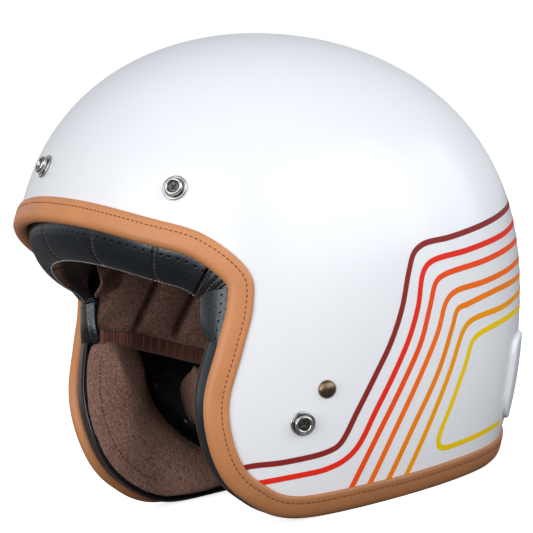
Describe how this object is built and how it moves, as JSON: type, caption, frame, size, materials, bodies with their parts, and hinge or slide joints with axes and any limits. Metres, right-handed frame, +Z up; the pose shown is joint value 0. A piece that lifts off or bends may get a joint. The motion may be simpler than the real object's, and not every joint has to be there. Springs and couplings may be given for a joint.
{
  "type": "open face motorcycle helmet",
  "caption": "Open face helmet: gloss shell with leather edge trim, snap studs, padded liner and cheek pads, and a tucked-in chin strap with a ratchet buckle.",
  "frame": {"origin": "middle of the helmet's footprint on the ground, standing on its lower edge", "axes": "+Z up, +X towards the wearer's left, +Y towards the back; the face opening looks along -Y and the helmet leans back as it does when stood on its lower edge"},
  "size_m": [0.2524, 0.2632, 0.2516],
  "materials": {
    "shell_gloss": "glossy white lacquer",
    "trim_leather": "smooth caramel leather",
    "snap_metal": "polished nickel",
    "steel": "zinc plated",
    "rivet_bronze": "dark bronze",
    "impact_foam": "expanded polystyrene",
    "fleece_brown": "brushed fleece",
    "satin_brown": "satin",
    "leatherette_black": "perforated leatherette",
    "plate_plastic": "moulded",
    "webbing_black": "woven webbing",
    "buckle_steel": "satin",
    "lever_red": "satin"
  },
  "bodies": {
    "helmet": {"outer_shell": "shell_gloss", "rear_panel": "shell_gloss", "edge_trim": "trim_leather", "snap_flanges": "snap_metal", "snap_studs": "snap_metal", "snap_posts": "snap_metal", "snap_washers": "steel", "strap_rivets": "rivet_bronze", "rivet_washers": "steel", "impact_liner": "impact_foam", "crown_liner": "fleece_brown", "liner_hem": "satin_brown", "brow_pad": "leatherette_black", "corner_tab_left": "leatherette_black", "corner_tab_right": "leatherette_black", "temple_pad_left": "leatherette_black", "temple_pad_right": "leatherette_black", "cheek_pad_left": "fleece_brown", "cheek_pad_right": "fleece_brown", "cheek_border_left": "leatherette_black", "cheek_border_right": "leatherette_black", "cheek_plate_left": "plate_plastic", "cheek_plate_right": "plate_plastic", "pad_studs": "plate_plastic", "neck_pad": "fleece_brown", "neck_roll": "leatherette_black", "anchor_strap_left": "webbing_black", "anchor_strap_right": "webbing_black"},
    "chin_strap": {"chin_strap_left": "webbing_black", "chin_strap_right": "webbing_black", "buckle_frame": "buckle_steel", "buckle_tongue": "buckle_steel", "lever_pin": "buckle_steel", "lever_spring": "buckle_steel"},
    "buckle_lever": {"buckle_lever": "lever_red"}
  },
  "joints": [
    {"name": "strap_swing", "type": "hinge", "parent": "helmet", "child": "chin_strap", "pos_m": [0, 0.00269, 0.04252], "axis": [1, 0, 0], "range_deg": [0, 25]},
    {"name": "lever_release", "type": "hinge", "parent": "chin_strap", "child": "buckle_lever", "pos_m": [0.01, 0.05434, 0.09752], "axis": [0, 0.729, -0.6845], "range_deg": [0, 40], "stiffness_Nm_per_rad": 0.02, "springref_deg": -9.74}
  ]
}
